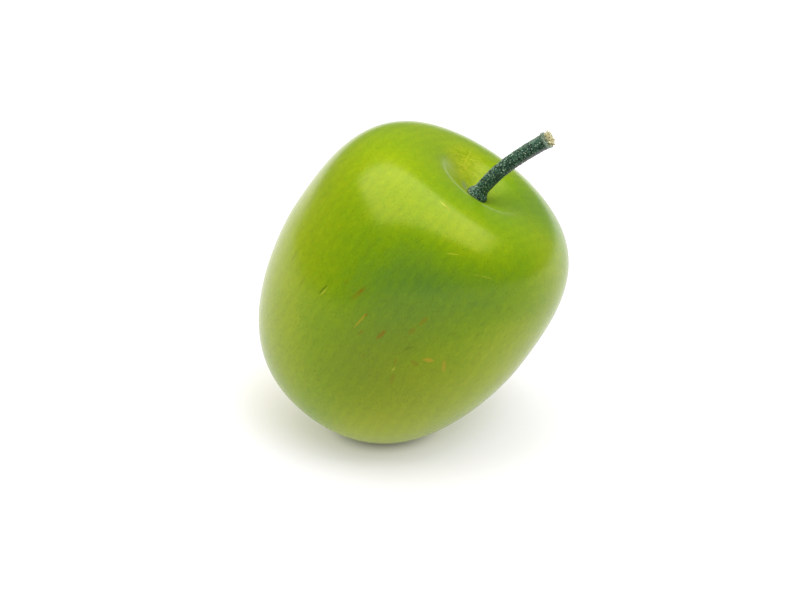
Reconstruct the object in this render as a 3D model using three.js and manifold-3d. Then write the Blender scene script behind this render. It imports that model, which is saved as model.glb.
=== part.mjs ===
// A turned wooden play apple in green lacquer, with a stiff cord glued in for its stem.
// Millimetres, +Z up. The apple leans on a small flat spot, and the origin is the middle of that spot.
import * as THREE from 'three';
import { mergeVertices } from 'three/addons/utils/BufferGeometryUtils.js';
import Module from 'manifold-3d';

// Wooden body, measured along its own axis from the ring that its base would stand on
const bellyRadius = 32.25;
const bellyHeight = 38.4;
const baseRingRadius = 10;
const baseHollowDepth = 2.2;
const crestRadius = 13.4; // the rounded ring about the dimple
const crestHeight = 68.6;
const dimpleDepth = 4.3; // down to where its slope meets the small floor
const dimpleFloorRadius = 2.5;
const dimpleFloorDrop = 0.5; // from the floor's edge to its middle

// How far each arc of the outline keeps its direction before it turns
const baseSweep = 15.9;
const lowerFullness = 13.2;
const upperFullness = 13.5;
const crestSweep = 18.4;
const hollowSweep = 4;
const lipSweep = 2.8;
const lipInnerSweep = 4.5;
const lipDrop = 0.9;

// Lean, and the spot worn flat underneath
const lean = THREE.MathUtils.degToRad(32.1);
const restCutDepth = 1.0;

// Blind hole for the stem, drilled a little off the axis
const stemAzimuth = THREE.MathUtils.degToRad(-17); // the way that the stem bends, about the body's axis
const stemOffset = 0.8;
const socketRadius = 1.9;
const socketDepth = 12;
const drillPointAngle = THREE.MathUtils.degToRad(118);
const drillClearance = 1; // above the crest, so that the cut is open
const fitGap = 0.3;

// Stem cord: a braided sheath round a soft core, heights taken from the crest plane
const stemLowerHandle = 3.2;
const stemUpperHandle = new THREE.Vector2(2.75, 8.9);
const stemCut = new THREE.Vector2(6.35, 17.15);
const sheathRadius = 1.6;
const sheathTopRadius = 1.72;
const sheathCutRadius = 2.0; // opened by the cut
const sheathBoreRadius = 1.15;
const footRadius = 2.45; // braid bunched up where it was pressed into the hole
const footUndercut = 0.4;
const footHeight = 0.8; // of its widest ring above the hole's mouth
const footTaper = 2.6;
const cutFlareLength = 2.6;
const cutSlant = 0.5;
const coreRadius = 0.85;
const tuftRadius = 1.3;
const tuftRound = 0.4;
const tuftLength = 1.7;
const tuftDroop = 0.5;
const tuftStrands = 5;
const tuftRaggedness = 0.22;

// Dried glue under the stem
const glueHeight = 1.0;

const bodySides = 72;
const bodyStep = 2.6; // along the outline
const leastArcSteps = 6;
const cordSides = 16;
const cordArcSteps = 5;
const stretchSteps = 16;

const colours = {
  lacqueredWood: 0x86b01f,
  cordSheath: 0x2f4a35,
  cordCore: 0xd8d3a4,
  glue: 0xe6dfc4,
};

const wasm = await Module();
wasm.setup();

// A merged copy of the geometry, without the triangles that closed up at its poles
function closedSurface(geometry) {
  const bare = geometry.clone();
  bare.deleteAttribute('normal');
  bare.deleteAttribute('uv');
  const merged = mergeVertices(bare, 1e-4);
  const corners = merged.index.array;
  const kept = [];
  for (let i = 0; i < corners.length; i += 3) {
    const [a, b, c] = corners.slice(i, i + 3);
    if (a !== b && b !== c && c !== a) kept.push(a, b, c);
  }
  merged.setIndex(kept);
  return merged;
}

function toSolid(geometry) {
  const surface = closedSurface(geometry);
  return new wasm.Manifold(new wasm.Mesh({
    numProp: 3,
    vertProperties: new Float32Array(surface.attributes.position.array),
    triVerts: new Uint32Array(surface.index.array),
  }));
}

function toGeometry(solid) {
  const mesh = solid.getMesh();
  const geometry = new THREE.BufferGeometry();
  geometry.setAttribute('position', new THREE.BufferAttribute(mesh.vertProperties, 3));
  geometry.setIndex(new THREE.BufferAttribute(mesh.triVerts, 1));
  geometry.computeVertexNormals();
  return geometry;
}

// Turns an outline of (radius, height) points about +Z
function turned(outline, sides) {
  return new THREE.LatheGeometry(outline, sides).rotateX(Math.PI / 2);
}

// From the hollow under the base, out over the belly and down into the dimple
function bodyOutline() {
  const outline = new THREE.Path();
  const dimpleFloor = crestHeight - dimpleDepth;
  outline.moveTo(0, baseHollowDepth);
  outline.bezierCurveTo(
    hollowSweep, baseHollowDepth, baseRingRadius - hollowSweep, 0, baseRingRadius, 0);
  outline.bezierCurveTo(
    baseRingRadius + baseSweep, 0, bellyRadius, bellyHeight - lowerFullness, bellyRadius, bellyHeight);
  outline.bezierCurveTo(
    bellyRadius, bellyHeight + upperFullness, crestRadius + crestSweep, crestHeight,
    crestRadius, crestHeight);
  outline.bezierCurveTo(
    crestRadius - lipSweep, crestHeight, crestRadius - lipInnerSweep, crestHeight - lipDrop,
    dimpleFloorRadius, dimpleFloor);
  outline.quadraticCurveTo(
    dimpleFloorRadius / 2, dimpleFloor - dimpleFloorDrop, 0, dimpleFloor - dimpleFloorDrop);
  const points = [new THREE.Vector2(0, baseHollowDepth)];
  for (const arc of outline.curves) {
    const steps = Math.max(leastArcSteps, Math.round(arc.getLength() / bodyStep));
    points.push(...arc.getPoints(steps).slice(1));
  }
  return points;
}

// The cut plane crosses the leaning outline twice, and the spot's middle is halfway between
function findRestSpot(outline) {
  const heightOf = (point) => point.y * Math.cos(lean) - point.x * Math.sin(lean);
  const alongOf = (point) => point.x * Math.cos(lean) + point.y * Math.sin(lean);
  const level = Math.min(...outline.map(heightOf)) + restCutDepth;
  const ends = [];
  for (let i = 1; i < outline.length; i++) {
    const before = heightOf(outline[i - 1]) - level;
    const after = heightOf(outline[i]) - level;
    if (before * after < 0) {
      const share = before / (before - after);
      ends.push(THREE.MathUtils.lerp(alongOf(outline[i - 1]), alongOf(outline[i]), share));
    }
  }
  return { along: (ends[0] + ends[1]) / 2, level };
}

const outline = bodyOutline();
const restSpot = findRestSpot(outline);
const socketMouth = -dimpleDepth;
const socketEnd = socketMouth - socketDepth;
const drillPointLength = socketRadius / Math.tan(drillPointAngle / 2);

// The hole's own shape: a cylinder with the drill's point, open past the crest
function drill() {
  const shape = [
    new THREE.Vector2(0, socketEnd - drillPointLength),
    new THREE.Vector2(socketRadius, socketEnd),
    new THREE.Vector2(socketRadius, drillClearance),
    new THREE.Vector2(0, drillClearance),
  ];
  return turned(shape, 2 * cordSides)
    .translate(stemOffset, 0, 0)
    .rotateZ(stemAzimuth)
    .translate(0, 0, crestHeight);
}

// Everything below the surface that the apple rests on, seen from the leaning body
function belowRest() {
  const size = 2 * crestHeight;
  return new THREE.BoxGeometry(size, size, size)
    .translate(restSpot.along, 0, restSpot.level - size / 2)
    .rotateY(-lean);
}

function bodyGeometry() {
  const blank = toSolid(turned(outline, bodySides));
  return toGeometry(blank.subtract(toSolid(drill())).subtract(toSolid(belowRest())));
}

// Centre line of the cord: straight in its hole, then bending over, in (sideways, height)
function stemLine() {
  const bottom = socketEnd + glueHeight + fitGap;
  const direction = stemCut.clone().sub(stemUpperHandle).normalize();
  const tip = stemCut.clone().addScaledVector(direction, tuftLength + cutSlant);
  const line = new THREE.Path();
  line.moveTo(stemOffset, bottom);
  line.lineTo(stemOffset, socketMouth);
  line.bezierCurveTo(
    stemOffset, stemLowerHandle, stemUpperHandle.x, stemUpperHandle.y, stemCut.x, stemCut.y);
  line.quadraticCurveTo(
    stemCut.x + direction.x, stemCut.y + direction.y, tip.x + tuftDroop, tip.y - tuftDroop);
  return line;
}

const line = stemLine();
const [lengthInHole, lengthInAir] = line.curves.map((curve) => curve.getLength());
const cordLength = lengthInHole + lengthInAir;

// Bends a piece that stands along Z from 0 onto the stem's centre line
function bentOnStem(geometry) {
  const total = line.getLength();
  const position = geometry.getAttribute('position');
  for (let i = 0; i < position.count; i++) {
    const share = THREE.MathUtils.clamp(position.getZ(i) / total, 0, 1);
    const centre = line.getPointAt(share);
    const along = line.getTangentAt(share);
    const sideways = position.getX(i);
    position.setXYZ(i, centre.x + sideways * along.y, position.getY(i), centre.y - sideways * along.x);
  }
  return geometry;
}

// A long straight stretch, in steps short enough to be bent
function addStretch(shape, fromRadius, fromHeight, toRadius, toHeight) {
  for (let step = 1; step <= stretchSteps; step++) {
    const share = step / stretchSteps;
    shape.lineTo(
      THREE.MathUtils.lerp(fromRadius, toRadius, share),
      THREE.MathUtils.lerp(fromHeight, toHeight, share));
  }
}

// Leaves the cut a little longer on the side that the stem bends away from
function slantCut(geometry, start) {
  const position = geometry.getAttribute('position');
  for (let i = 0; i < position.count; i++) {
    const height = position.getZ(i);
    const share = THREE.MathUtils.smoothstep(height, start, cordLength);
    const slide = (cutSlant * share * -position.getX(i)) / sheathCutRadius;
    position.setZ(i, height + slide);
  }
  return geometry;
}

function sheathGeometry() {
  const bunch = lengthInHole + footHeight;
  const taperEnd = bunch + footTaper;
  const flareStart = cordLength - cutFlareLength;
  const shape = new THREE.Path();
  shape.moveTo(sheathBoreRadius, 0);
  shape.lineTo(sheathRadius, 0);
  shape.lineTo(sheathRadius, bunch - 2 * footUndercut);
  shape.quadraticCurveTo(footRadius, bunch - footUndercut, footRadius, bunch);
  shape.bezierCurveTo(
    footRadius, bunch + footTaper / 3, sheathRadius, bunch + footTaper / 3, sheathRadius, taperEnd);
  addStretch(shape, sheathRadius, taperEnd, sheathTopRadius, flareStart);
  shape.quadraticCurveTo(sheathTopRadius, cordLength - cutFlareLength / 3, sheathCutRadius, cordLength);
  shape.lineTo(sheathBoreRadius, cordLength);
  addStretch(shape, sheathBoreRadius, cordLength, sheathBoreRadius, 0);
  const straight = turned(shape.getPoints(cordArcSteps), cordSides);
  return bentOnStem(slantCut(straight, flareStart));
}

// Frays the core's end: each strand stops at its own length
function frayed(geometry) {
  const position = geometry.getAttribute('position');
  for (let i = 0; i < position.count; i++) {
    const height = position.getZ(i);
    const angle = Math.atan2(position.getY(i), position.getX(i));
    const share = THREE.MathUtils.smoothstep(height, cordLength, cordLength + tuftLength);
    const reach = Math.hypot(position.getX(i), position.getY(i)) / tuftRadius;
    position.setZ(i, height + tuftRaggedness * share * reach * Math.sin(tuftStrands * angle));
  }
  return geometry;
}

function coreGeometry() {
  const tuftStart = cordLength + 2 * fitGap;
  const tuftEnd = cordLength + tuftLength;
  const shape = new THREE.Path();
  shape.moveTo(0, 0);
  shape.lineTo(coreRadius, 0);
  addStretch(shape, coreRadius, 0, coreRadius, tuftStart);
  shape.quadraticCurveTo(tuftRadius, tuftStart, tuftRadius, tuftEnd - tuftRound);
  shape.quadraticCurveTo(tuftRadius, tuftEnd, 0, tuftEnd);
  return bentOnStem(frayed(turned(shape.getPoints(cordArcSteps), cordSides)));
}

// The glue that was left in the drill's point when the cord was pressed in
function glueGeometry() {
  const radius = socketRadius - fitGap;
  const pointLength = radius / Math.tan(drillPointAngle / 2);
  const shape = [
    new THREE.Vector2(0, socketEnd - pointLength),
    new THREE.Vector2(radius, socketEnd),
    new THREE.Vector2(radius, socketEnd + glueHeight),
    new THREE.Vector2(0, socketEnd + glueHeight),
  ];
  return turned(shape, cordSides).translate(stemOffset, 0, 0);
}

function named(name, geometry, color, roughness) {
  const material = new THREE.MeshStandardMaterial({ color, roughness, metalness: 0 });
  const mesh = new THREE.Mesh(geometry, material);
  mesh.name = name;
  return mesh;
}

const stem = new THREE.Group();
stem.position.z = crestHeight;
stem.rotation.z = stemAzimuth;
stem.add(
  named('stem_sheath', sheathGeometry(), colours.cordSheath, 0.7),
  named('stem_core', coreGeometry(), colours.cordCore, 0.9),
  named('stem_glue', glueGeometry(), colours.glue, 0.4),
);

const apple = new THREE.Group();
apple.rotation.y = lean;
apple.position.set(-restSpot.along, 0, -restSpot.level);
apple.add(named('apple_body', bodyGeometry(), colours.lacqueredWood, 0.35), stem);

const part = new THREE.Group();
part.add(apple);

export default part;
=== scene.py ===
import bisect
import math
import random

import bpy
from mathutils import Matrix, Vector, noise
from mathutils.geometry import interpolate_bezier


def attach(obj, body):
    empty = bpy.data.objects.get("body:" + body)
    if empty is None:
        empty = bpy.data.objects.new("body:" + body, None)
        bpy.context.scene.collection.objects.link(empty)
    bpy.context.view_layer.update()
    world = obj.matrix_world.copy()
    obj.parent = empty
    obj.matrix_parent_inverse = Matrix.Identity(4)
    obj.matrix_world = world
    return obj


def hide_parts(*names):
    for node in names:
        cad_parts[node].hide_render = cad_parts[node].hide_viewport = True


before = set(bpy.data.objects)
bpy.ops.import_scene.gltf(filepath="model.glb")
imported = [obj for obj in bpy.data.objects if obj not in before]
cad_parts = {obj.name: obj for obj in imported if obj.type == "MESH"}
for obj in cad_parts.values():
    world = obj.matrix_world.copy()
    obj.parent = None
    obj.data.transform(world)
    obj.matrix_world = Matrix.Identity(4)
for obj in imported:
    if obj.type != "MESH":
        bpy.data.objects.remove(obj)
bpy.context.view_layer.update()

# A turned wooden play apple in green lacquer, with a braided cord glued in for its stem.
# The dictionaries hold millimetres and degrees, and Blender works in metres.

mm = 0.001
weldDistance = 0.001 * mm
random.seed(11)


def hexColour(code):  # sRGB hex to the linear colour that a socket takes
    channels = [int(code[start:start + 2], 16) / 255 for start in (0, 2, 4)]
    return (*[c / 12.92 if c <= 0.04045 else ((c + 0.055) / 1.055) ** 2.4 for c in channels], 1)


def addNode(tree, kind, settings=None, links=None):
    node = tree.nodes.new(kind)
    for key, value in (settings or {}).items():
        if isinstance(key, str) and hasattr(node, key):
            setattr(node, key, value)
        else:
            node.inputs[key].default_value = value
    for key, source in (links or {}).items():
        tree.links.new(source, node.inputs[key])
    return node


def newMaterial(name):
    material = bpy.data.materials.new(name)
    material.use_nodes = True
    return material, material.node_tree, material.node_tree.nodes["Principled BSDF"]


def softSpot(tree, source, middle, reach, turn=(0, 0, 0)):  # 1 in the middle, falling to 0 at the reach
    spot = addNode(tree, "ShaderNodeMapping", {
        "vector_type": "TEXTURE", "Location": middle, "Rotation": turn, "Scale": reach}, {"Vector": source})
    fade = addNode(tree, "ShaderNodeTexGradient", {"gradient_type": "SPHERICAL"}, {
        "Vector": spot.outputs["Vector"]})
    return fade.outputs["Fac"]


def pickOnly(piece):
    bpy.ops.object.select_all(action="DESELECT")
    piece.select_set(True)
    bpy.context.view_layer.objects.active = piece


def applyModifier(piece, kind, **settings):
    pickOnly(piece)
    bpy.ops.object.modifier_add(type=kind)
    modifier = piece.modifiers[-1]
    for key, value in settings.items():
        setattr(modifier, key, value)
    bpy.ops.object.modifier_apply(modifier=modifier.name)


def settle(piece, place):  # moves the mesh and leaves the object at the origin
    pickOnly(piece)
    piece.matrix_world = place
    bpy.ops.object.transform_apply(location=True, rotation=True, scale=True)


def turned(name, outline, sides):  # one point drawn out along (radius, height), then spun about Z
    bpy.ops.object.select_all(action="DESELECT")
    bpy.ops.mesh.primitive_plane_add(size=mm)
    piece = bpy.context.active_object
    piece.name = name
    bpy.ops.object.mode_set(mode="EDIT")
    bpy.ops.mesh.merge(type="CENTER")
    bpy.ops.transform.translate(value=(outline[0][0] * mm, 0, outline[0][1] * mm))
    for before, after in zip(outline, outline[1:]):
        step = ((after[0] - before[0]) * mm, 0, (after[1] - before[1]) * mm)
        bpy.ops.mesh.extrude_region_move(TRANSFORM_OT_translate={"value": step})
    bpy.ops.mesh.select_all(action="SELECT")
    bpy.ops.mesh.spin(steps=sides, angle=2 * math.pi, center=(0, 0, 0), axis=(0, 0, 1))
    bpy.ops.mesh.select_all(action="SELECT")
    bpy.ops.mesh.remove_doubles(threshold=weldDistance)
    bpy.ops.mesh.normals_make_consistent(inside=False)
    bpy.ops.object.mode_set(mode="OBJECT")
    return piece


def curveThrough(start, startHandle, endHandle, end, steps):  # a Bezier arc without its first point
    points = interpolate_bezier(*map(Vector, (start, startHandle, endHandle, end)), steps + 1)
    return [tuple(point) for point in points[1:]]


# Camera: a long lens, 30 degrees above the table
camera = {"place": (0.969, -607.839, 383.338), "tilt": 60.05, "lens": 135, "sensor": 36, "clipStart": 10}
bpy.ops.object.select_all(action="DESELECT")
bpy.ops.object.camera_add(
    location=Vector(camera["place"]) * mm, rotation=(math.radians(camera["tilt"]), 0, 0))
bpy.context.scene.camera = bpy.context.active_object
bpy.context.scene.camera.data.lens = camera["lens"]
bpy.context.scene.camera.data.sensor_width = camera["sensor"]
bpy.context.scene.camera.data.clip_start = camera["clipStart"] * mm
print("camera placed")


# Wooden body
body = {
    "bellyRadius": 32.25,
    "bellyHeight": 38.4,
    "baseRingRadius": 10,
    "baseHollowDepth": 2.2,
    "crestRadius": 13.4,
    "crestHeight": 68.6,
    "dimpleDepth": 4.3,
    "dimpleFloorRadius": 2.5,
    "dimpleFloorDrop": 0.5,
    "hollowSweep": 4,
    "baseSweep": 15.9,
    "lowerFullness": 13.2,
    "upperFullness": 13.5,
    "crestSweep": 18.4,
    "lipSweep": 2.8,
    "lipInnerSweep": 4.5,
    "lipDrop": 0.9,
    "lean": 32.1,
    "restAlong": 16.45,  # from the base's middle to the flat spot's, along the table
    "restLevel": -6.50,
    "sides": 192,
    "bellySteps": 34,
    "lipSteps": 16,
    "sandingDepth": 0.1,  # slow waves that hand sanding leaves
    "sandingSpan": 16,
    "restEdge": 0.6,  # rubbed edge round the flat spot
    "facingDown": -0.999,
    "levelWithin": 0.01,
    "creaseAngle": 40,
}
lean = math.radians(body["lean"])

socket = {
    "offset": 0.8,
    "azimuth": -17,
    "radius": 1.9,
    "depth": 12,
    "pointAngle": 118,
    "clearance": 1,  # above the crest, so that the cut is open
    "sides": 48,
}
socketMouth = -body["dimpleDepth"]
socketEnd = socketMouth - socket["depth"]

bodyPlace = (Matrix.Translation((-body["restAlong"] * mm, 0, -body["restLevel"] * mm))
             @ Matrix.Rotation(lean, 4, "Y"))
stemPlace = (bodyPlace @ Matrix.Translation((0, 0, body["crestHeight"] * mm))
             @ Matrix.Rotation(math.radians(socket["azimuth"]), 4, "Z"))


def bodyOutline():  # from the hollow under the base, over the belly and down into the dimple
    b = body
    floorHeight = b["crestHeight"] - b["dimpleDepth"]
    floorMiddle = floorHeight - b["dimpleFloorDrop"]
    hollow = (0, b["baseHollowDepth"])
    base = (b["baseRingRadius"], 0)
    belly = (b["bellyRadius"], b["bellyHeight"])
    crest = (b["crestRadius"], b["crestHeight"])
    floorEdge = (b["dimpleFloorRadius"], floorHeight)
    points = [hollow]
    points += curveThrough(
        hollow, (b["hollowSweep"], hollow[1]), (base[0] - b["hollowSweep"], 0), base, b["lipSteps"])
    points += curveThrough(
        base, (base[0] + b["baseSweep"], 0), (belly[0], belly[1] - b["lowerFullness"]), belly,
        b["bellySteps"])
    points += curveThrough(
        belly, (belly[0], belly[1] + b["upperFullness"]), (crest[0] + b["crestSweep"], crest[1]), crest,
        b["bellySteps"])
    points += curveThrough(
        crest, (crest[0] - b["lipSweep"], crest[1]),
        (crest[0] - b["lipInnerSweep"], crest[1] - b["lipDrop"]), floorEdge, b["lipSteps"])
    points += curveThrough(
        floorEdge, (floorEdge[0] * 2 / 3, floorEdge[1] - b["dimpleFloorDrop"] * 2 / 3),
        (floorEdge[0] / 3, floorMiddle), (0, floorMiddle), b["lipSteps"] // 2)
    return points


def drillSocket(piece):  # the hole for the stem, cut with a solid of the drill's own shape
    radius, top = socket["radius"], socket["clearance"]
    pointLength = radius / math.tan(math.radians(socket["pointAngle"] / 2))
    shape = [(0, socketEnd - pointLength), (radius, socketEnd), (radius, top), (0, top)]
    drill = turned("drill", shape, socket["sides"])
    settle(drill, Matrix.Translation((socket["offset"] * mm, 0, 0)))
    settle(drill, stemPlace)
    applyModifier(piece, "BOOLEAN", object=drill, operation="DIFFERENCE", solver="EXACT")
    pickOnly(drill)
    bpy.ops.object.delete()


def wearFlatSpot(piece):  # cut level, with a narrow rubbed edge
    pickOnly(piece)
    bpy.ops.object.mode_set(mode="EDIT")
    bpy.ops.mesh.select_all(action="SELECT")
    bpy.ops.mesh.bisect(
        plane_co=(0, 0, 0), plane_no=(0, 0, 1), use_fill=True, clear_inner=True, threshold=weldDistance)
    bpy.ops.mesh.select_all(action="DESELECT")
    bpy.ops.object.mode_set(mode="OBJECT")
    for face in piece.data.polygons:
        face.select = face.normal.z < body["facingDown"] and abs(face.center.z) < body["levelWithin"] * mm
    bpy.ops.object.mode_set(mode="EDIT")
    bpy.ops.mesh.inset(thickness=body["restEdge"] * mm)
    bpy.ops.object.mode_set(mode="OBJECT")


turnedBody = turned("turnedBody", bodyOutline(), body["sides"])
sanding = bpy.data.textures.new("handSanding", type="CLOUDS")
sanding.noise_scale = body["sandingSpan"] * mm
applyModifier(
    turnedBody, "DISPLACE", texture=sanding, texture_coords="LOCAL", strength=body["sandingDepth"] * mm)
settle(turnedBody, bodyPlace)
drillSocket(turnedBody)
wearFlatSpot(turnedBody)
pickOnly(turnedBody)
bpy.ops.object.shade_smooth_by_angle(angle=math.radians(body["creaseAngle"]))
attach(turnedBody, "root")
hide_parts("apple_body")
print("body turned, drilled and set on its flat spot")


# Stem: a braided sheath round a soft core, heights from the crest plane
cord = {
    "lowerHandle": 3.2,
    "upperHandle": (2.75, 8.9),
    "cut": (6.35, 17.15),
    "radius": 1.6,
    "topRadius": 1.72,
    "cutRadius": 2.0,
    "boreRadius": 1.15,
    "footRadius": 2.45,
    "footUndercut": 0.45,
    "footHeight": 0.55,
    "footTaper": 2.6,
    "cutFlare": 2.6,
    "flareHandles": ((0, 0.55), (0.5, 0.9)),  # shares of the widening and of the way to the cut
    "cutSlant": -0.3,  # shorter on the upper side
    "glueHeight": 1.0,
    "gap": 0.3,
    "strandsEachWay": 11,
    "strandPitch": 1.0,  # along the cord, from one strand to the next of its kind
    "strandRelief": 0.13,
    "fuzzRelief": 0.1,
    "fuzzSpan": 0.35,
    "sides": 110,
    "step": 0.15,
    "lineSteps": 64,
    "bunchSteps": 8,
    "cutSteps": 5,
    "boreSteps": 60,
    "boreSkin": 0.01,
}


def stemLine():  # the cord's centre line: straight in its hole, then bending over
    x, top = socket["offset"], Vector(cord["cut"])
    start = (x, socketEnd + cord["glueHeight"] + cord["gap"])
    direction = (top - Vector(cord["upperHandle"])).normalized()
    points = [start, (x, socketMouth)]
    points += curveThrough(
        points[1], (x, cord["lowerHandle"]), cord["upperHandle"], cord["cut"], cord["lineSteps"])
    return [Vector(point) for point in points], direction


stemPoints, cutDirection = stemLine()
stemLengths = [0.0]
for before, after in zip(stemPoints, stemPoints[1:]):
    stemLengths.append(stemLengths[-1] + (after - before).length)
lengthInHole = stemLengths[1]
cordLength = stemLengths[-1]


def onStem(height):  # the place and direction at a length along the cord
    if height >= cordLength:
        return stemPoints[-1] + cutDirection * (height - cordLength), cutDirection
    index = min(max(bisect.bisect_right(stemLengths, height), 1), len(stemPoints) - 1)
    before, after = stemPoints[index - 1], stemPoints[index]
    share = (height - stemLengths[index - 1]) / (stemLengths[index] - stemLengths[index - 1])
    return before.lerp(after, share), (after - before).normalized()


def bendOnStem(piece):  # from standing along Z to following the stem's line
    straight = piece.data.attributes.new("straight", "FLOAT_VECTOR", "POINT")
    for index, vertex in enumerate(piece.data.vertices):
        across, depth, height = vertex.co / mm
        straight.data[index].vector = (across, depth, height)
        centre, along = onStem(height)
        vertex.co = Vector((centre.x + across * along.y, depth, centre.y - across * along.x)) * mm


def lerp(start, end, share):
    return start + (end - start) * share


def sheathOutline():  # up the outside, over the cut and down the bore
    c = cord
    bunch = lengthInHole + c["footHeight"]
    taperEnd = bunch + c["footTaper"]
    flareStart = cordLength - c["cutFlare"]
    under = bunch - 2 * c["footUndercut"]
    lowerSteps = round(under / c["step"] / 2)
    points = [(c["boreRadius"], 0)]
    points += [(c["radius"], lerp(0, under, i / lowerSteps)) for i in range(lowerSteps + 1)]
    points += curveThrough(
        (c["radius"], under), (lerp(c["radius"], c["footRadius"], 2 / 3), lerp(under, bunch, 1 / 3)),
        (c["footRadius"], lerp(under, bunch, 2 / 3)), (c["footRadius"], bunch), c["bunchSteps"])
    points += curveThrough(
        (c["footRadius"], bunch), (c["footRadius"], bunch + c["footTaper"] / 3),
        (c["radius"], bunch + c["footTaper"] / 3), (c["radius"], taperEnd),
        round(c["footTaper"] / c["step"]))
    stretchSteps = round((flareStart - taperEnd) / c["step"])
    for i in range(1, stretchSteps + 1):
        share = i / stretchSteps
        points.append((lerp(c["radius"], c["topRadius"], share), lerp(taperEnd, flareStart, share)))
    handles = []
    for wider, further in c["flareHandles"]:
        handles.append((lerp(c["topRadius"], c["cutRadius"], wider), lerp(flareStart, cordLength, further)))
    points += curveThrough(
        (c["topRadius"], flareStart), *handles, (c["cutRadius"], cordLength),
        round(c["cutFlare"] / c["step"]))
    for i in range(1, c["cutSteps"] + 1):
        points.append((lerp(c["cutRadius"], c["boreRadius"], i / c["cutSteps"]), cordLength))
    for i in range(1, c["boreSteps"] + 1):
        points.append((c["boreRadius"], lerp(cordLength, 0, i / c["boreSteps"])))
    return points


def braid(piece):  # raises the two crossing families of strands, and the fuzz of their fibres
    for vertex in piece.data.vertices:
        across, depth, height = vertex.co / mm
        radius = math.hypot(across, depth)
        if radius < cord["boreRadius"] + cord["boreSkin"]:
            continue
        turn = cord["strandsEachWay"] * math.atan2(depth, across)
        rise = 2 * math.pi * height / cord["strandPitch"]
        relief = max(math.cos(turn + rise), math.cos(turn - rise)) * cord["strandRelief"] / 2
        relief += cord["fuzzRelief"] * noise.noise(Vector((across, depth, height)) / cord["fuzzSpan"])
        share = (radius + relief) / radius
        vertex.co.x *= share
        vertex.co.y *= share


def slantCut(piece):  # leaves the cut a little longer on its underside
    start = cordLength - cord["cutFlare"]
    for vertex in piece.data.vertices:
        share = min(max((vertex.co.z / mm - start) / cord["cutFlare"], 0), 1)
        share = share * share * (3 - 2 * share)
        vertex.co.z -= cord["cutSlant"] * share * vertex.co.x / cord["cutRadius"]


# Core: a soft rod that ends in a frayed tuft
core = {
    "radius": 0.85,
    "sides": 24,
    "steps": 40,
    "shortBy": 0.2,  # from its dome's foot to the cut
    "domeHeight": 0.8,
    "domeSide": 0.5,
    "domeTop": 0.6,
    "domeSteps": 8,
}
tuft = {
    "count": 240,
    "arc": (0, 360),
    "rootRadii": (0, 1.15),
    "rootDepth": 0.4,  # how far the fibres start inside the sheath
    "length": 1.75,
    "lengthSpread": 0.6,
    "splay": 0.35,
    "curl": 0.45,
    "radius": 0.12,
    "tipShare": 0.55,
    "points": 5,
}
# loose ends of the sheath's own strands, on the upper side of the cut
fuzz = {
    "count": 140,
    "arc": (70, 290),
    "rootRadii": (1.2, 1.95),
    "rootDepth": 0.5,
    "length": 1.25,
    "lengthSpread": 0.6,
    "splay": 0.15,
    "curl": 0.3,
    "radius": 0.06,
    "tipShare": 0.55,
    "points": 5,
}


def coreOutline():
    c = core
    foot = cordLength - c["shortBy"]
    top = foot + c["domeHeight"]
    points = [(0, 0)]
    points += [(c["radius"], lerp(0, foot, i / c["steps"])) for i in range(c["steps"] + 1)]
    points += curveThrough(
        (c["radius"], foot), (c["radius"], foot + c["domeSide"]), (c["radius"] * c["domeTop"], top),
        (0, top), c["domeSteps"])
    return points


def addFibres(piece, look):  # short curled fibres, each a thin tube, standing on the straight cord's end
    fibres = bpy.data.curves.new("fibres", "CURVE")
    fibres.dimensions = "3D"
    fibres.bevel_depth = look["radius"] * mm
    fibres.bevel_resolution = 1
    fibres.use_fill_caps = True
    inner, outer = look["rootRadii"]
    for _ in range(look["count"]):
        angle = math.radians(random.uniform(*look["arc"]))
        rootRadius = math.sqrt(random.uniform(inner * inner, outer * outer))
        length = look["length"] * (1 - look["lengthSpread"] * random.random())
        curl = Vector((random.gauss(0, 1), random.gauss(0, 1), 0)) * look["curl"]
        outward = Vector((math.cos(angle), math.sin(angle), 0))
        root = outward * rootRadius + Vector((0, 0, cordLength - look["rootDepth"]))
        sideways = outward * look["splay"] * rootRadius / outer + curl
        spline = fibres.splines.new("POLY")
        spline.points.add(look["points"] - 1)
        for index, point in enumerate(spline.points):
            share = index / (look["points"] - 1)
            place = root + sideways * share * share + Vector((0, 0, length * share))
            point.co = (*(place * mm), 1)
            point.radius = lerp(1, look["tipShare"], share)
    ends = bpy.data.objects.new("fibres", fibres)
    bpy.context.collection.objects.link(ends)
    pickOnly(ends)
    bpy.ops.object.convert(target="MESH")
    ends = bpy.context.active_object
    pickOnly(piece)
    ends.select_set(True)
    bpy.ops.object.join()


braidedSheath = turned("braidedSheath", sheathOutline(), cord["sides"])
braid(braidedSheath)
addFibres(braidedSheath, fuzz)
slantCut(braidedSheath)
bendOnStem(braidedSheath)
settle(braidedSheath, stemPlace)
bpy.ops.object.shade_smooth()
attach(braidedSheath, "root")
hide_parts("stem_sheath")
print("sheath braided and bent over")

frayedCore = turned("frayedCore", coreOutline(), core["sides"])
addFibres(frayedCore, tuft)
bendOnStem(frayedCore)
settle(frayedCore, stemPlace)
bpy.ops.object.shade_smooth()
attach(frayedCore, "root")
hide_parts("stem_core")
print("core frayed at its end")


# Finishes
waveSpan = 0.314  # what a wave texture at scale 1 puts between two waves

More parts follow.
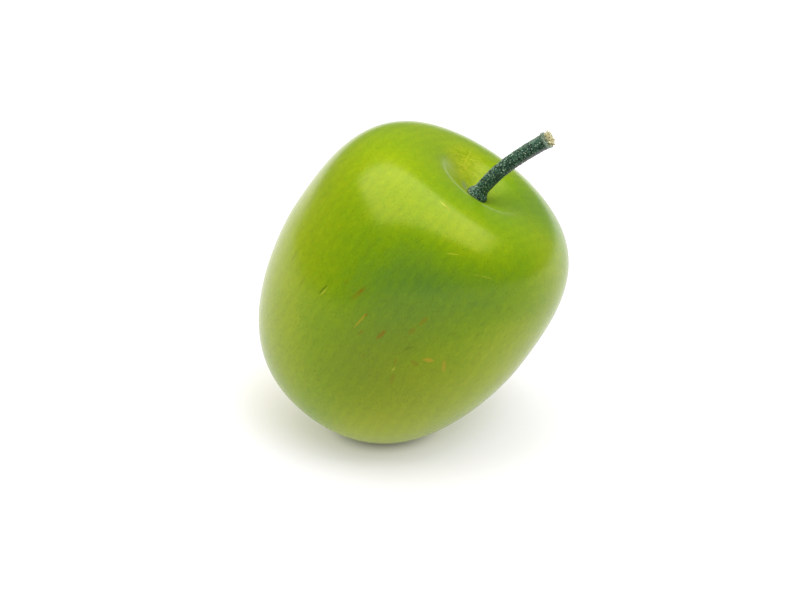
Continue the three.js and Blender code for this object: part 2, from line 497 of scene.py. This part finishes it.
woodLook = {
    "deepGreen": "567f28",
    "leafGreen": "719309",
    "springGreen": "92a400",
    "stainBase": 0.66,  # on the way from deepGreen, at 0, to springGreen, at 1
    "stainSpan": 12,
    "stainDrift": 0.35,
    # where the stain sank deeper (under 0) or stayed thin (over 0), partly painted shade on the front and
    # painted light round the shoulder's highlight: middle on the body's axes, reach, change
    "stainShadeAndLightPatches": [
        # painted shade: the deepest green on the front, where less light falls
        ((-9, -30, 49), 41, -0.7),
        ((16, 0, 69), 20, -0.39),
        ((-25, -11, 37), 42, 0.39),
        # painted light: thinner stain round the shoulder's highlight
        ((-24, -28, 68), 27, 0.54),
        ((-2, -31, 71), 19, 0.83),
        ((9, -16, 12), 18, 0.59),
        ((15, -23, 38), 25, 0.66),
        ((20, -29, 36), 21, -0.25),
        ((-11, -24, 24), 19, -0.19),
        ((-3, 5, 66), 13, 0.12),
        ((10, 32, 34), 36, -0.5),
        ((30, 12, 20), 26, -0.3),
        ((20, -10, 66), 14, 0.25),
        ((7, -26, 14), 18, 0.2),
    ],
    "mottleWidth": 1.2,
    "mottleLength": 2.4,
    "mottleStain": 0.5,
    "olive": "7b8500",
    "olivePatch": ((1, -31, 27), 28),  # a browner bloom low on the belly
    "oliveShare": 0.5,
    "ringSpacing": 2.6,
    "ringTone": (0.975, 1.02),
    "pith": (-58, 46, 0),  # the tree's own middle lay well outside the blank
    "fibreWidth": 0.42,  # beech fibres are finer, drawn as coarse as the picture can show
    "fibreLength": 1.0,
    "fibreRange": (0.3, 0.7),
    "fibreTone": (0.95, 1.05),
    "poreWidth": 0.2,
    "poreLength": 2.2,
    "poreTurns": (-14, 3, 17),  # the grain wanders by this much
    "poreTones": ((0.25, 0.72), (0.35, 1), (0.67, 1), (0.75, 1.22)),
    "rayWidth": 0.9,
    "rayLength": 5.0,
    "rayEdge": (0.08, 0.2),
    "rayPick": (0.84, 0.96),  # only the few cells whose random red is up here show a ray
    "rayShare": 0.55,
    "rayHeights": (52, 62),  # rays end where the crest turns to end grain
    "rayBrown": "765a0c",
    "toolPlace": ((-4, 6.5, 67), 9),
    "toolColour": "d2cc3c",
    "toolTurns": (15, 62, 108),
    "toolWidth": 0.15,
    "toolLength": 3.5,
    "toolEdge": (0.58, 0.66),
    "toolShare": 0.5,
    # a grey-green patch in the dimple, left of the stem's foot
    "greyGreenPatch": ((-2.5, 1.5, 64.5), 1.9),
    "greyGreenPatchColour": "7d8f55",
    "markTints": {"dent": "435b01", "ray": "7b7003", "rust": "7e5604", "amber": "a6921a", "nick": "b2b933"},
    "markEdge": 0.4,
    "markBreaks": (0.36, 0.5),
    "markLeast": 0.4,  # what the pores leave of a mark where they break it up
    # single rays, nicks and scratches, and a pale line along the dimple's near lip: from, to, half width,
    # kind, strength
    "marks": [
        ((-22.7, -22.7, 34.4), (-22.4, -23.2, 37.9), 0.13, "dent", 0.75),
        ((-22.3, -23.1, 34.4), (-22.0, -23.6, 37.9), 0.12, "nick", 0.6),
        ((-17.1, -27.3, 39.2), (-16.1, -27.9, 44.4), 0.36, "ray", 0.55),
        ((-16.7, -27.6, 41.4), (-16.3, -27.8, 43.6), 0.15, "rust", 0.6),
        ((-13.3, -29.2, 34.4), (-12.9, -29.6, 39.6), 0.19, "amber", 0.75),
        ((-12.9, -29.5, 38.2), (-12.8, -29.6, 39.6), 0.15, "rust", 0.7),
        ((-11.7, -29.8, 33.6), (-11.5, -30.0, 35.7), 0.15, "rust", 0.65),
        ((-8.1, -31.1, 35.7), (-7.5, -31.4, 38.9), 0.3, "rust", 0.75),
        ((-2.8, -32.1, 41.1), (-2.5, -32.1, 43.2), 0.36, "ray", 0.6),
        ((-1.7, -32.1, 36.0), (-1.1, -32.2, 39.1), 0.15, "dent", 0.7),
        ((-1.7, -32.2, 37.0), (0.3, -32.2, 39.6), 0.13, "dent", 0.7),
        ((-1.1, -31.8, 32.1), (-2.0, -32.0, 34.4), 0.21, "ray", 0.6),
        ((-0.8, -31.7, 30.6), (-0.8, -31.8, 31.9), 0.24, "nick", 0.7),
        ((1.1, -31.0, 27.1), (0.0, -31.6, 30.3), 0.33, "ray", 0.6),
        ((-2.0, -32.1, 44.4), (-1.7, -32.0, 46.8), 0.39, "ray", 0.7),
        ((3.4, -32.1, 37.2), (5.6, -31.8, 37.9), 0.33, "amber", 0.95),
        ((9.4, -30.8, 36.2), (7.8, -31.3, 39.1), 0.3, "amber", 0.8),
        ((1.1, -32.1, 35.5), (3.4, -32.0, 35.2), 0.3, "ray", 0.6),
        ((-11.0, -18.7, 67.1), (-9.3, -19.6, 67.1), 0.21, "nick", 0.95),
        ((-9.8, -19.2, 67.1), (-8.4, -20.2, 67.1), 0.18, "amber", 0.8),
        ((1.8, -29.0, 60.0), (6.7, -27.8, 60.9), 0.12, "nick", 0.8),
        ((-5.7, -28.0, 60.9), (-2.9, -27.7, 62.1), 0.12, "nick", 0.6),
        ((-29.4, -12.5, 33.2), (-29.9, -12.1, 36.5), 0.15, "ray", 0.6),
        ((-26.2, -18.0, 31.9), (-26.2, -18.4, 33.9), 0.15, "ray", 0.6),
        ((-28.7, -14.6, 40.0), (-28.7, -14.6, 42.1), 0.15, "ray", 0.5),
        # a pale line along the dimple's near lip, under the stem's foot
        ((-4.2, -9.7, 68.2), (0.8, -10.5, 68.3), 0.2, "nick", 0.7),
    ],
    "bareBeech": "c7b37c",
    "rubbedHeights": (0.02, 0.12),
    "rubbedShare": 0.75,
    "roughness": 0.22,
    "dimplePlace": ((0, 0, 64), 15),
    "dimpleRoughness": 0.3,  # added where the end grain soaked the lacquer up
    "bumpStrength": 0.25,
    "bumpDepth": 0.02,
    "ior": 1.44,
    "glossTint": "ffff98",  # the coloured lacquer takes some blue out of what it reflects head on
}


def greenLacqueredBeech():
    # Beech turned on a lathe, stained green and coated in satin lacquer: fibres, pores and short rays
    # run along the turning axis and show through one smooth skin, which gives broad soft highlights.
    material, tree, surface = newMaterial("greenStainedBeechSatinLacquer")
    look = woodLook
    place = addNode(tree, "ShaderNodeTexCoord").outputs["Object"]
    # millimetres along the body's own axes, with the grain along Z
    grain = addNode(tree, "ShaderNodeMapping", {
        "vector_type": "TEXTURE", "Location": bodyPlace.translation, "Rotation": (0, lean, 0),
        "Scale": (mm, mm, mm)}, {"Vector": place}).outputs["Vector"]
    stretched = {}  # the same place, counted in each pattern's own widths and lengths
    for name in ("mottle", "fibre", "ray"):
        width, length = look[name + "Width"], look[name + "Length"]
        stretched[name] = addNode(tree, "ShaderNodeMapping", {
            "Scale": (1 / width, 1 / width, 1 / length)}, {"Vector": grain}).outputs["Vector"]

    def patch(middle, reach):  # a round spot on the body, fading smoothly
        return addNode(tree, "ShaderNodeMapRange", {"interpolation_type": "SMOOTHSTEP"}, {
            "Value": softSpot(tree, grain, middle, (reach, reach, reach))}).outputs["Result"]

    # how deep the stain sank, from 0, deepest, to 1, with the patches' painted shade and painted light in it
    drift = addNode(tree, "ShaderNodeTexNoise", {
        "Scale": 1 / look["stainSpan"], "Detail": 2, "Roughness": 0.5}, {"Vector": grain})
    depth = addNode(tree, "ShaderNodeMapRange", {
        "To Min": look["stainBase"] - look["stainDrift"] / 2,
        "To Max": look["stainBase"] + look["stainDrift"] / 2}, {
        "Value": drift.outputs["Fac"]}).outputs["Result"]
    for middle, reach, change in look["stainShadeAndLightPatches"]:
        depth = addNode(tree, "ShaderNodeMath", {"operation": "MULTIPLY_ADD", 1: change}, {
            0: patch(middle, reach), 2: depth}).outputs["Value"]
    mottle = addNode(tree, "ShaderNodeTexNoise", {
        "Scale": 1, "Detail": 3, "Roughness": 0.6, "Distortion": 0.6}, {"Vector": stretched["mottle"]})
    mottled = addNode(tree, "ShaderNodeMapRange", {
        "To Min": -look["mottleStain"] / 2, "To Max": look["mottleStain"] / 2}, {
        "Value": mottle.outputs["Fac"]})
    depth = addNode(tree, "ShaderNodeMath", {"operation": "ADD"}, {
        0: depth, 1: mottled.outputs["Result"]}).outputs["Value"]
    stain = addNode(tree, "ShaderNodeValToRGB", {}, {"Fac": depth})
    stain.color_ramp.elements[0].color = hexColour(look["deepGreen"])
    stain.color_ramp.elements[1].color = hexColour(look["springGreen"])
    stain.color_ramp.elements.new(0.5).color = hexColour(look["leafGreen"])
    browner = addNode(tree, "ShaderNodeMath", {"operation": "MULTIPLY", 1: look["oliveShare"]}, {
        0: patch(*look["olivePatch"])})
    colour = addNode(tree, "ShaderNodeMix", {"data_type": "RGBA", 7: hexColour(look["olive"])}, {
        0: browner.outputs["Value"], 6: stain.outputs["Color"]}).outputs[2]

    # growth rings, which the turning cuts through
    ringPlace = addNode(tree, "ShaderNodeMapping", {"Location": look["pith"]}, {"Vector": grain})
    rings = addNode(tree, "ShaderNodeTexWave", {
        "wave_type": "RINGS", "rings_direction": "Z", "Scale": waveSpan / look["ringSpacing"],
        "Distortion": 1.5, "Detail": 2, "Detail Scale": 0.4}, {"Vector": ringPlace.outputs["Vector"]})
    ringTone = addNode(tree, "ShaderNodeMapRange", {
        "To Min": look["ringTone"][0], "To Max": look["ringTone"][1]}, {"Value": rings.outputs["Fac"]})
    tones = [ringTone.outputs["Result"]]

    # fibres, then the darker and paler ends of single vessels
    fibres = addNode(tree, "ShaderNodeTexNoise", {"Scale": 1, "Detail": 3, "Roughness": 0.65}, {
        "Vector": stretched["fibre"]})
    fibreTone = addNode(tree, "ShaderNodeMapRange", {
        "From Min": look["fibreRange"][0], "From Max": look["fibreRange"][1],
        "To Min": look["fibreTone"][0], "To Max": look["fibreTone"][1]}, {"Value": fibres.outputs["Fac"]})
    tones.append(fibreTone.outputs["Result"])
    for turn in look["poreTurns"]:
        slanted = addNode(tree, "ShaderNodeMapping", {
            "Location": (turn, turn, turn), "Rotation": (math.radians(turn), -math.radians(turn), 0)}, {
            "Vector": grain})
        drawn = addNode(tree, "ShaderNodeMapping", {
            "Scale": (1 / look["poreWidth"], 1 / look["poreWidth"], 1 / look["poreLength"])}, {
            "Vector": slanted.outputs["Vector"]})
        pores = addNode(tree, "ShaderNodeTexNoise", {"Scale": 1, "Detail": 1}, {
            "Vector": drawn.outputs["Vector"]})
        poreTone = addNode(tree, "ShaderNodeValToRGB", {}, {"Fac": pores.outputs["Fac"]})
        for position, value in look["poreTones"]:
            poreTone.color_ramp.elements.new(position).color = (value, value, value, 1)
        poreTone.color_ramp.elements.remove(poreTone.color_ramp.elements[0])
        poreTone.color_ramp.elements.remove(poreTone.color_ramp.elements[-1])
        tones.append(poreTone.outputs["Color"])
    for tone in tones:
        colour = addNode(tree, "ShaderNodeVectorMath", {"operation": "SCALE"}, {
            0: colour, "Scale": tone}).outputs["Vector"]

    # rays: short brown dashes along the side grain
    rays = addNode(tree, "ShaderNodeTexVoronoi", {"Scale": 1}, {"Vector": stretched["ray"]})
    rayBody = addNode(tree, "ShaderNodeMapRange", {
        "From Min": look["rayEdge"][0], "From Max": look["rayEdge"][1], "To Min": 1, "To Max": 0}, {
        "Value": rays.outputs["Distance"]})
    rayRandom = addNode(tree, "ShaderNodeSeparateColor", {}, {"Color": rays.outputs["Color"]})
    rayChosen = addNode(tree, "ShaderNodeMapRange", {
        "From Min": look["rayPick"][0], "From Max": look["rayPick"][1], "To Max": look["rayShare"]}, {
        "Value": rayRandom.outputs["Red"]})
    height = addNode(tree, "ShaderNodeSeparateXYZ", {}, {"Vector": grain})
    belowCrest = addNode(tree, "ShaderNodeMapRange", {
        "From Min": look["rayHeights"][0], "From Max": look["rayHeights"][1], "To Min": 1, "To Max": 0}, {
        "Value": height.outputs["Z"]})
    rayShare = addNode(tree, "ShaderNodeMath", {"operation": "MULTIPLY"}, {
        0: rayBody.outputs["Result"], 1: rayChosen.outputs["Result"]})
    rayShare = addNode(tree, "ShaderNodeMath", {"operation": "MULTIPLY"}, {
        0: rayShare.outputs["Value"], 1: belowCrest.outputs["Result"]})
    layers = [(rayShare.outputs["Value"], look["rayBrown"])]

    # scratches of the tool that cut the dimple, crossing each other, and a grey-green patch beside the
    # stem's foot
    cutShare = addNode(tree, "ShaderNodeMath", {"operation": "MULTIPLY", 1: look["toolShare"]}, {
        0: patch(*look["toolPlace"])})
    cuts = None
    for turn in look["toolTurns"]:
        facing = addNode(tree, "ShaderNodeMapping", {"Rotation": (0, 0, math.radians(turn))}, {
            "Vector": grain})
        drawn = addNode(tree, "ShaderNodeMapping", {
            "Scale": (1 / look["toolWidth"], 1 / look["toolLength"], 1 / look["toolLength"])}, {
            "Vector": facing.outputs["Vector"]})
        strokes = addNode(tree, "ShaderNodeTexNoise", {"Scale": 1, "Detail": 1}, {
            "Vector": drawn.outputs["Vector"]})
        lines = addNode(tree, "ShaderNodeMapRange", {
            "From Min": look["toolEdge"][0], "From Max": look["toolEdge"][1]}, {
            "Value": strokes.outputs["Fac"]}).outputs["Result"]
        cuts = lines if cuts is None else addNode(tree, "ShaderNodeMath", {"operation": "MAXIMUM"}, {
            0: cuts, 1: lines}).outputs["Value"]
    cutShare = addNode(tree, "ShaderNodeMath", {"operation": "MULTIPLY"}, {
        0: cuts, 1: cutShare.outputs["Value"]})
    layers.append((cutShare.outputs["Value"], look["toolColour"]))
    layers.append((patch(*look["greyGreenPatch"]), look["greyGreenPatchColour"]))

    # single marks, each broken up by the last turn's pores
    brokenUp = addNode(tree, "ShaderNodeMapRange", {
        "From Min": look["markBreaks"][0], "From Max": look["markBreaks"][1],
        "To Min": look["markLeast"]}, {"Value": pores.outputs["Fac"]})
    for start, end, halfWidth, kind, strength in look["marks"]:
        start, end = Vector(start), Vector(end)
        along = end - start
        reach = (along.length / 2 + halfWidth, halfWidth, halfWidth * 2)
        turn = along.to_track_quat("X", "Z").to_euler()
        share = addNode(tree, "ShaderNodeMapRange", {"From Max": look["markEdge"], "To Max": strength}, {
            "Value": softSpot(tree, grain, (start + end) / 2, reach, turn)})
        broken = addNode(tree, "ShaderNodeMath", {"operation": "MULTIPLY"}, {
            0: share.outputs["Result"], 1: brokenUp.outputs["Result"]})
        layers.append((broken.outputs["Value"], look["markTints"][kind]))

    # the lacquer is rubbed through where the apple stands
    standing = addNode(tree, "ShaderNodeSeparateXYZ", {}, {"Vector": place})
    wearAndTableLight = addNode(tree, "ShaderNodeMapRange", {
        "From Min": look["rubbedHeights"][0] * mm, "From Max": look["rubbedHeights"][1] * mm,
        "To Min": look["rubbedShare"], "To Max": 0}, {"Value": standing.outputs["Z"]})
    rubbedShare = addNode(tree, "ShaderNodeMath", {"operation": "MULTIPLY"}, {
        0: wearAndTableLight.outputs["Result"], 1: fibres.outputs["Fac"]})
    layers.append((rubbedShare.outputs["Value"], look["bareBeech"]))
    for share, over in layers:
        colour = addNode(tree, "ShaderNodeMix", {"data_type": "RGBA", 7: hexColour(over)}, {
            0: share, 6: colour}).outputs[2]

    dull = addNode(tree, "ShaderNodeMath", {
        "operation": "MULTIPLY_ADD", 1: look["dimpleRoughness"], 2: look["roughness"]}, {
        0: patch(*look["dimplePlace"])})
    bump = addNode(tree, "ShaderNodeBump", {
        "Strength": look["bumpStrength"], "Distance": look["bumpDepth"] * mm}, {
        "Height": fibres.outputs["Fac"]})
    surface.inputs["IOR"].default_value = look["ior"]
    surface.inputs["Specular Tint"].default_value = hexColour(look["glossTint"])
    tree.links.new(dull.outputs["Value"], surface.inputs["Roughness"])
    tree.links.new(colour, surface.inputs["Base Color"])
    tree.links.new(bump.outputs["Normal"], surface.inputs["Normal"])
    return material


sheathLook = {
    "deepGreen": "0e2118",
    "midGreen": "3d6650",
    "mottleSpan": 0.55,
    "mottleRange": (0.4, 0.62),
    "worn": "8c8690",  # painted reflection of the pale table, greying the underside
    "wornSide": (0.7, 1.6),
    "wornFrom": (8, 15),  # along the cord from the hole's mouth
    "wornShare": 0.8,
    "pale": "9fb09c",
    "footSide": (-1.1, -2.2),
    "footShare": 0.95,
    "cutFrom": (-0.9, 0.2),  # along the cord from its end
    "cutShare": 0.9,
    "fibreGlint": "b4ccb2",
    "fibreSpan": 0.3,
    "fibreRange": (0.6, 0.72),
    "glintShare": 0.85,
    "bumpStrength": 0.6,
    "bumpDepth": 0.12,
    "roughness": 0.8,
    "gloss": 0.3,
}


def greenBraidedCord():
    # Dyed cotton braid: dark green strands that cross, with painted glints where fibre ends catch the light,
    # and a painted reflection of the pale table on the underside.
    material, tree, surface = newMaterial("darkGreenBraidedCotton")
    look = sheathLook
    straight = addNode(tree, "ShaderNodeAttribute", {"attribute_name": "straight"}).outputs["Vector"]
    side = addNode(tree, "ShaderNodeSeparateXYZ", {}, {"Vector": straight})
    mottle = addNode(tree, "ShaderNodeTexNoise", {
        "Scale": 1 / look["mottleSpan"], "Detail": 3, "Roughness": 0.6}, {"Vector": straight})
    shade = addNode(tree, "ShaderNodeMapRange", {
        "From Min": look["mottleRange"][0], "From Max": look["mottleRange"][1]}, {
        "Value": mottle.outputs["Fac"]})
    dyed = addNode(tree, "ShaderNodeMix", {
        "data_type": "RGBA", 6: hexColour(look["deepGreen"]), 7: hexColour(look["midGreen"])}, {
        0: shade.outputs["Result"]})
    colour = dyed.outputs[2]

    # painted reflection: the pale table greys the underside from the bend to the cut
    under = addNode(tree, "ShaderNodeMapRange", {
        "interpolation_type": "SMOOTHSTEP", "From Min": look["wornSide"][0],
        "From Max": look["wornSide"][1], "To Max": look["wornShare"]}, {"Value": side.outputs["X"]})
    upper = addNode(tree, "ShaderNodeMapRange", {
        "interpolation_type": "SMOOTHSTEP", "From Min": lengthInHole + look["wornFrom"][0],
        "From Max": lengthInHole + look["wornFrom"][1]}, {"Value": side.outputs["Z"]})
    wearAndTableLight = addNode(tree, "ShaderNodeMath", {"operation": "MULTIPLY"}, {
        0: under.outputs["Result"], 1: upper.outputs["Result"]})

    # the foot is paler on one side, and so is the lip of the cut
    footSide = addNode(tree, "ShaderNodeMapRange", {
        "interpolation_type": "SMOOTHSTEP", "From Min": look["footSide"][0],
        "From Max": look["footSide"][1], "To Max": look["footShare"]}, {"Value": side.outputs["X"]})
    cutHeight = addNode(tree, "ShaderNodeMapRange", {
        "interpolation_type": "SMOOTHSTEP", "From Min": cordLength + look["cutFrom"][0],
        "From Max": cordLength + look["cutFrom"][1], "To Max": look["cutShare"]}, {
        "Value": side.outputs["Z"]})
    patchy = addNode(tree, "ShaderNodeMath", {"operation": "MULTIPLY"}, {
        0: footSide.outputs["Result"], 1: shade.outputs["Result"]})
    pale = addNode(tree, "ShaderNodeMath", {"operation": "MAXIMUM"}, {
        0: patchy.outputs["Value"], 1: cutHeight.outputs["Result"]})

    # painted glints: pale specks where fibre ends catch the light
    specks = addNode(tree, "ShaderNodeTexNoise", {"Scale": 1 / look["fibreSpan"], "Detail": 1}, {
        "Vector": straight})
    speckShare = addNode(tree, "ShaderNodeMapRange", {
        "From Min": look["fibreRange"][0], "From Max": look["fibreRange"][1],
        "To Max": look["glintShare"]}, {"Value": specks.outputs["Fac"]})
    layers = [
        (wearAndTableLight.outputs["Value"], look["worn"]),
        (pale.outputs["Value"], look["pale"]),
        (speckShare.outputs["Result"], look["fibreGlint"]),
    ]
    for share, over in layers:
        colour = addNode(tree, "ShaderNodeMix", {"data_type": "RGBA", 7: hexColour(over)}, {
            0: share, 6: colour}).outputs[2]
    bump = addNode(tree, "ShaderNodeBump", {
        "Strength": look["bumpStrength"], "Distance": look["bumpDepth"] * mm}, {
        "Height": mottle.outputs["Fac"]})
    surface.inputs["Roughness"].default_value = look["roughness"]
    surface.inputs["Specular IOR Level"].default_value = look["gloss"]
    tree.links.new(colour, surface.inputs["Base Color"])
    tree.links.new(bump.outputs["Normal"], surface.inputs["Normal"])
    return material


coreLook = {
    "cream": "e8e3bb",
    "shade": "a89d6a",
    "fibreSpan": 0.25,
    "fibreRange": (0.35, 0.6),
    "roughness": 0.85,
}


def undyedCore():
    # Undyed cotton core, cut and frayed: cream fibres, a little dirtier in places.
    material, tree, surface = newMaterial("undyedCottonCore")
    look = coreLook
    straight = addNode(tree, "ShaderNodeAttribute", {"attribute_name": "straight"}).outputs["Vector"]
    fibres = addNode(tree, "ShaderNodeTexNoise", {"Scale": 1 / look["fibreSpan"], "Detail": 2}, {
        "Vector": straight})
    shade = addNode(tree, "ShaderNodeMapRange", {
        "From Min": look["fibreRange"][0], "From Max": look["fibreRange"][1]}, {
        "Value": fibres.outputs["Fac"]})
    colour = addNode(tree, "ShaderNodeMix", {
        "data_type": "RGBA", 6: hexColour(look["shade"]), 7: hexColour(look["cream"])}, {
        0: shade.outputs["Result"]})
    surface.inputs["Roughness"].default_value = look["roughness"]
    tree.links.new(colour.outputs[2], surface.inputs["Base Color"])
    return material


glueLook = {
    "clear": "efe8cf",
    "yellowed": "cfc093",
    "bubbleSpan": 0.5,
    "bumpStrength": 0.3,
    "bumpDepth": 0.1,
    "roughness": 0.4,
}


def driedWoodGlue():
    # White glue gone clear and yellow as it dried: waxy, with small bubbles.
    material, tree, surface = newMaterial("driedWoodGlue")
    look = glueLook
    place = addNode(tree, "ShaderNodeTexCoord").outputs["Object"]
    bubbles = addNode(tree, "ShaderNodeTexVoronoi", {"Scale": 1 / (look["bubbleSpan"] * mm)}, {
        "Vector": place})
    colour = addNode(tree, "ShaderNodeMix", {
        "data_type": "RGBA", 6: hexColour(look["clear"]), 7: hexColour(look["yellowed"])}, {
        0: bubbles.outputs["Distance"]})
    bump = addNode(tree, "ShaderNodeBump", {
        "Strength": look["bumpStrength"], "Distance": look["bumpDepth"] * mm}, {
        "Height": bubbles.outputs["Distance"]})
    surface.inputs["Roughness"].default_value = look["roughness"]
    tree.links.new(colour.outputs[2], surface.inputs["Base Color"])
    tree.links.new(bump.outputs["Normal"], surface.inputs["Normal"])
    return material


turnedBody.data.materials.append(greenLacqueredBeech())
braidedSheath.data.materials.append(greenBraidedCord())
frayedCore.data.materials.clear()
frayedCore.data.materials.append(undyedCore())
bpy.data.objects["stem_glue"].material_slots[0].material = driedWoodGlue()
print("finishes made")


# Table, softbox and surroundings, in metres: only the card's bump and the places under the apple
# are in millimetres
studio = {
    "floorSize": 4.0,
    "floorWhite": "c0bebf",
    "floorGrey": "8a8a89",
    "floorGlow": 0.52,  # the table glows as if lit from below, and painted shadow takes that glow away under the apple
    "glowWhite": "fffdff",
    "glowShaded": "d9d7c2",
    "shadedPlace": ((-8, 14, 0), (42, 38, 38)),
    "shadedEdge": 0.5,
    "contactPlace": ((-3, -1, 0), (15, 15, 15)),
    "contactEdge": 0.53,
    "litRight": (0.3, 1.1),  # where the lit part ends
    "litBack": (0.36, 1.1),
    "cardGrain": 300,  # to the metre
    "cardBumpStrength": 0.05,
    "cardBumpDepth": 0.1,
    "cardRoughness": 0.9,
    "cardGloss": 0.2,
    "boxHeight": 1.0,
    "boxWidth": 2.4,
    "boxDepth": 1.22,
    "boxOffset": 0.1,
    "boxPower": 29,
    "roomGrey": 0.2,
}


def mattWhiteCard():
    # Matt white card over a light table: no gloss, and brighter than paper away from the apple.
    material, tree, surface = newMaterial("mattWhiteCard")
    look = studio
    place = addNode(tree, "ShaderNodeTexCoord").outputs["Object"]
    card = addNode(tree, "ShaderNodeTexNoise", {"Scale": look["cardGrain"]}, {"Vector": place})
    bump = addNode(tree, "ShaderNodeBump", {
        "Strength": look["cardBumpStrength"], "Distance": look["cardBumpDepth"] * mm}, {
        "Height": card.outputs["Fac"]})

    # the lit part ends behind the apple and on its right
    across = addNode(tree, "ShaderNodeSeparateXYZ", {}, {"Vector": place})
    ends = []
    for axis, (nearEnd, farEnd) in (("X", look["litRight"]), ("Y", look["litBack"])):
        fade = addNode(tree, "ShaderNodeMapRange", {
            "interpolation_type": "SMOOTHSTEP", "From Min": nearEnd, "From Max": farEnd}, {
            "Value": across.outputs[axis]})
        ends.append(fade.outputs["Result"])
    away = addNode(tree, "ShaderNodeMath", {"operation": "MAXIMUM"}, {0: ends[0], 1: ends[1]})
    paper = addNode(tree, "ShaderNodeMix", {
        "data_type": "RGBA", 6: hexColour(look["floorWhite"]), 7: hexColour(look["floorGrey"])}, {
        0: away.outputs["Value"]})

    # painted shadow in the glow from below: dimmer and warmer in the apple's shade, and out where it touches
    spots = []
    for middle, reach in (look["shadedPlace"], look["contactPlace"]):
        spots.append(softSpot(tree, place, Vector(middle) * mm, Vector(reach) * mm))
    shade = addNode(tree, "ShaderNodeMapRange", {
        "interpolation_type": "SMOOTHSTEP", "From Max": look["shadedEdge"]}, {"Value": spots[0]})
    glowColour = addNode(tree, "ShaderNodeMix", {
        "data_type": "RGBA", 6: hexColour(look["glowWhite"]), 7: hexColour(look["glowShaded"])}, {
        0: shade.outputs["Result"]})
    contactGlow = addNode(tree, "ShaderNodeMapRange", {
        "interpolation_type": "SMOOTHSTEP", "From Max": look["contactEdge"],
        "To Min": look["floorGlow"], "To Max": 0}, {"Value": spots[1]})
    glow = addNode(tree, "ShaderNodeMapRange", {"To Max": 0}, {
        "Value": away.outputs["Value"], "To Min": contactGlow.outputs["Result"]})
    surface.inputs["Roughness"].default_value = look["cardRoughness"]
    surface.inputs["Specular IOR Level"].default_value = look["cardGloss"]
    tree.links.new(paper.outputs[2], surface.inputs["Base Color"])
    tree.links.new(glowColour.outputs[2], surface.inputs["Emission Color"])
    tree.links.new(glow.outputs["Result"], surface.inputs["Emission Strength"])
    tree.links.new(bump.outputs["Normal"], surface.inputs["Normal"])
    return material


bpy.ops.object.select_all(action="DESELECT")
bpy.ops.mesh.primitive_plane_add(size=studio["floorSize"])
table = bpy.context.active_object
table.name = "table"
table.data.materials.append(mattWhiteCard())

bpy.ops.object.light_add(type="AREA", location=(studio["boxOffset"], 0, studio["boxHeight"]))
softbox = bpy.context.active_object.data
softbox.shape = "RECTANGLE"
softbox.size = studio["boxWidth"]
softbox.size_y = studio["boxDepth"]
softbox.energy = studio["boxPower"]

world = bpy.data.worlds.new("whiteRoom")
bpy.context.scene.world = world
world.use_nodes = True
background = world.node_tree.nodes["Background"]
background.inputs["Strength"].default_value = studio["roomGrey"]
background.inputs["Color"].default_value = hexColour("ffffff")
bpy.context.scene.view_settings.view_transform = "Standard"
print("table and lights set")
